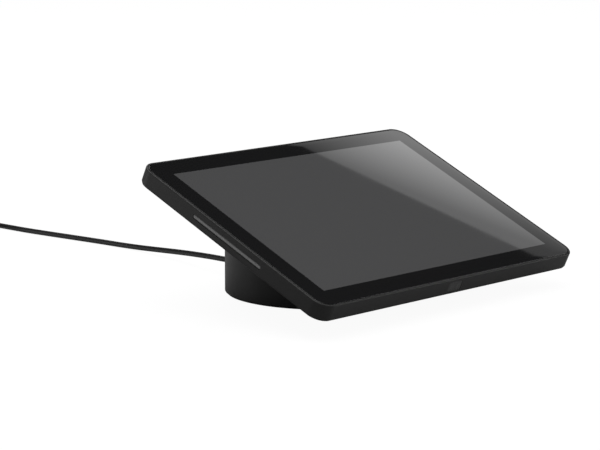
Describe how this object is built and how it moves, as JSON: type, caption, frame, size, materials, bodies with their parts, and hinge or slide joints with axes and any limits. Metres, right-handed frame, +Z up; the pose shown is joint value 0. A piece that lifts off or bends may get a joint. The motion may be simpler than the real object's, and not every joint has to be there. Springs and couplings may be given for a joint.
{
  "type": "desk ip phone",
  "caption": "Tilted touch-screen desk phone controller with a shallow rounded head, side light bars, a round slanted pedestal and a thin coiled network lead.",
  "frame": {"origin": "on the desk, in the middle of the phone's outline without its lead", "axes": "+Z up, the user sits at -Y and the screen leans back towards +Y, +X to the user's right"},
  "size_m": [0.248, 0.5113, 0.0907],
  "materials": {
    "case": "fine satin black moulding",
    "screen_glass": "polished dark cover glass",
    "foot_rubber": "matt black rubber",
    "light_bar": "translucent grey light guide, unlit",
    "sensor_plastic": "smoked infrared window",
    "display": "display panel",
    "steel": "zinc plated steel",
    "dark_steel": "black coated steel",
    "aluminium": "plain sheet",
    "circuit_board": "green solder mask",
    "ribbon": "amber film",
    "cord": "smooth black jacket",
    "clear_plastic": "clear moulding"
  },
  "bodies": {
    "phone": {"front_frame": "case", "rear_shell": "case", "pedestal_shell": "case", "bottom_cover": "case", "cable_clamp": "case", "cover_glass": "screen_glass", "foot_ring": "foot_rubber", "glass_gasket": "foot_rubber", "cable_gland": "foot_rubber", "plug_boot": "foot_rubber", "coil_tie": "foot_rubber", "light_guide_left": "light_bar", "light_guide_right": "light_bar", "sensor_window": "sensor_plastic", "lcd_panel": "display", "shield_can": "steel", "neck_screw_1": "steel", "neck_screw_2": "steel", "neck_screw_3": "steel", "neck_screw_4": "steel", "ballast_screw_1": "steel", "ballast_screw_2": "steel", "ballast_screw_3": "steel", "ballast_screw_4": "steel", "bottom_screw_1": "steel", "bottom_screw_2": "steel", "bottom_screw_3": "steel", "bottom_screw_4": "steel", "clamp_screw_1": "steel", "clamp_screw_2": "steel", "neck_plate": "dark_steel", "ballast_plate": "dark_steel", "display_chassis": "aluminium", "main_board": "circuit_board", "led_board_left": "circuit_board", "led_board_right": "circuit_board", "sensor_board": "circuit_board", "display_ribbon": "ribbon", "cord_lead": "cord", "cord_coil": "cord", "cord_tail": "cord", "inner_lead": "cord", "plug_body": "clear_plastic", "lead_header": "clear_plastic"},
    "latch": {"plug_latch": "clear_plastic"}
  },
  "joints": [
    {"name": "latch_press", "type": "hinge", "parent": "phone", "child": "latch", "pos_m": [-0.0346, 0.3301, 0.008], "axis": [-1, 0, 0], "range_deg": [0, 12], "stiffness_Nm_per_rad": 0.01}
  ]
}
